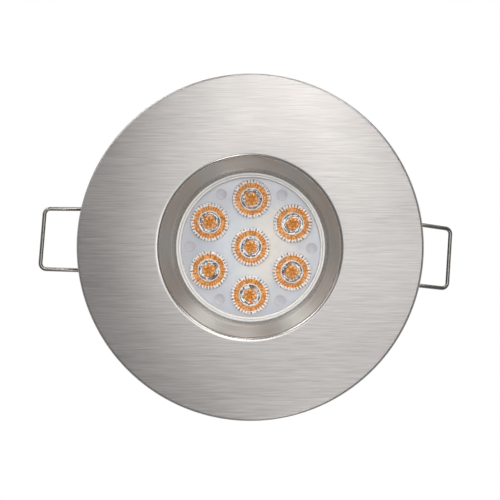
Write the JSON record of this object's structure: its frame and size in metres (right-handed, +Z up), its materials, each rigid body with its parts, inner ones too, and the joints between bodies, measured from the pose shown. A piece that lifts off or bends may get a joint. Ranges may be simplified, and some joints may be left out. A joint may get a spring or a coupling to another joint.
{
  "type": "soffit downlight",
  "caption": "Round recessed soffit downlight with a satin metal flange, multi-lens light engine, finned body, rear driver pod and two wire spring clips.",
  "frame": {"origin": "centre of the soffit cut-out, in the plane of the soffit's underside where the flange gasket seals", "axes": "+Z up into the soffit, along the light's axis; the light shines along -Z; +X towards the right-hand spring clip"},
  "size_m": [0.1343, 0.11, 0.0926],
  "materials": {
    "brushed_nickel": "satin brushed nickel plate",
    "foam": "closed-cell foam",
    "white_silicone": "matt silicone",
    "clear_plastic": "clear moulded plastic",
    "white_plastic": "gloss",
    "white_mask": "white solder mask",
    "led_body": "ceramic",
    "phosphor": "soft phosphor gel",
    "steel_screws": "zinc plated",
    "grey_pad": "matt",
    "lead_red": "satin insulation",
    "black_rubber": "matt",
    "cast_aluminium": "die-cast, bead blasted",
    "zinc_steel": "zinc plated sheet",
    "bright_steel": "turned",
    "spring_steel": "drawn wire",
    "housing_plastic": "fine spark texture",
    "green_board": "green solder mask",
    "ferrite": "sintered",
    "capacitor_sleeve": "shrink sleeve",
    "black_plastic": "moulded nylon",
    "grey_plastic": "moulded"
  },
  "bodies": {
    "housing": {"front_bezel": "brushed_nickel", "ceiling_gasket": "foam", "lens_gasket": "white_silicone", "lens_plate": "clear_plastic", "lens_holder": "white_plastic", "led_board": "white_mask", "led_packages": "led_body", "led_domes": "phosphor", "board_screws": "steel_screws", "thermal_pad": "grey_pad", "led_leads": "lead_red", "body_seal": "black_rubber", "heat_sink": "cast_aluminium", "bezel_screws": "steel_screws", "bracket_right": "zinc_steel", "bracket_left": "zinc_steel", "bracket_screws": "steel_screws", "pivot_pin_right": "bright_steel", "pivot_pin_left": "bright_steel", "spring_coil_right": "spring_steel", "spring_coil_left": "spring_steel", "driver_housing": "housing_plastic", "housing_screws": "steel_screws", "driver_board": "green_board", "driver_screws": "steel_screws", "transformer": "ferrite", "capacitors": "capacitor_sleeve", "inductor": "ferrite", "driver_chip": "black_plastic", "terminal_block": "grey_plastic", "terminal_screws": "steel_screws", "rear_cover": "housing_plastic", "cover_seal": "black_rubber", "cover_screws": "steel_screws", "gland_body": "black_plastic", "gland_locknut": "black_plastic", "gland_seal": "black_rubber", "gland_nut": "black_plastic"},
    "right_clip": {"spring_clip_right": "spring_steel"},
    "left_clip": {"spring_clip_left": "spring_steel"}
  },
  "joints": [
    {"name": "right_clip_hinge", "type": "hinge", "parent": "housing", "child": "right_clip", "pos_m": [0.0385, 0, 0.012], "axis": [0, -1, 0], "range_deg": [-60, 66], "stiffness_Nm_per_rad": 0.02, "deforming": ["spring_coil_right"]},
    {"name": "left_clip_hinge", "type": "hinge", "parent": "housing", "child": "left_clip", "pos_m": [-0.0385, 0, 0.012], "axis": [0, 1, 0], "range_deg": [-33, 93], "stiffness_Nm_per_rad": 0.02, "deforming": ["spring_coil_left"]}
  ]
}
